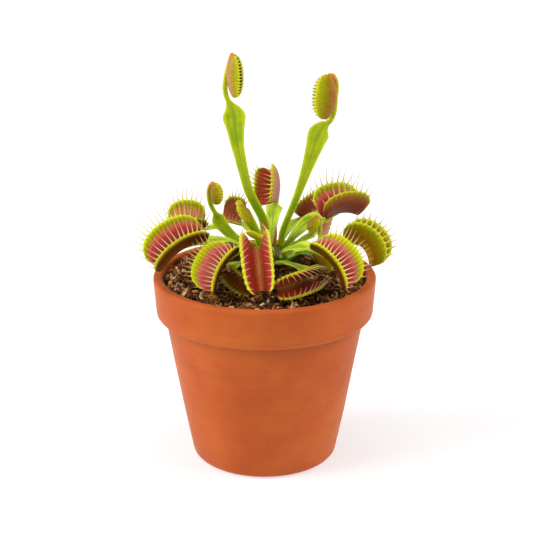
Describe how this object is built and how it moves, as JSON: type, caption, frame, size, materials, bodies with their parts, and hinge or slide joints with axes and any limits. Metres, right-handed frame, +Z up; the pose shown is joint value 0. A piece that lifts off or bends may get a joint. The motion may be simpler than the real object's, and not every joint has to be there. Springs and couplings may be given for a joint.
{
  "type": "potted venus flytrap plant",
  "caption": "Venus flytrap in a plain terracotta pot: a rosette of open toothed traps, tall young leaves with shut traps, dark potting mix.",
  "frame": {"origin": "centre of the overall box at the pot's underside", "axes": "+Z up along the pot's axis, -Y towards the side the plant faces, +X to the viewer's right"},
  "size_m": [0.1193, 0.1007, 0.1834],
  "materials": {
    "terracotta": "matte, unglazed fired clay",
    "potting_mix": "rough, loose peat and bark",
    "leaf": "satin, living leaf",
    "young_leaf": "satin, living leaf",
    "rhizome": "satin, fleshy bulb",
    "bud": "satin, young shoot"
  },
  "bodies": {
    "root": {"terracotta_pot": "terracotta", "potting_mix": "potting_mix", "rhizome": "rhizome", "leaf_far_left": "leaf", "leaf_left_rear": "leaf", "leaf_left_front": "leaf", "leaf_front_centre": "leaf", "leaf_low_right": "leaf", "leaf_low_left": "leaf", "leaf_right_front": "leaf", "leaf_far_right": "leaf", "leaf_right_rear": "leaf", "leaf_rear_centre": "leaf", "leaf_rear_left": "leaf", "leaf_rear_right": "leaf", "leaf_back_right": "leaf", "leaf_low_far_right": "leaf", "leaf_tall_left": "young_leaf", "leaf_tall_right": "young_leaf", "leaf_curled_left": "young_leaf", "leaf_curled_centre": "young_leaf", "leaf_curled_right": "young_leaf", "leaf_curled_front": "young_leaf", "bud_tall": "bud", "bud_middle": "bud", "bud_right": "bud"}
  },
  "joints": []
}
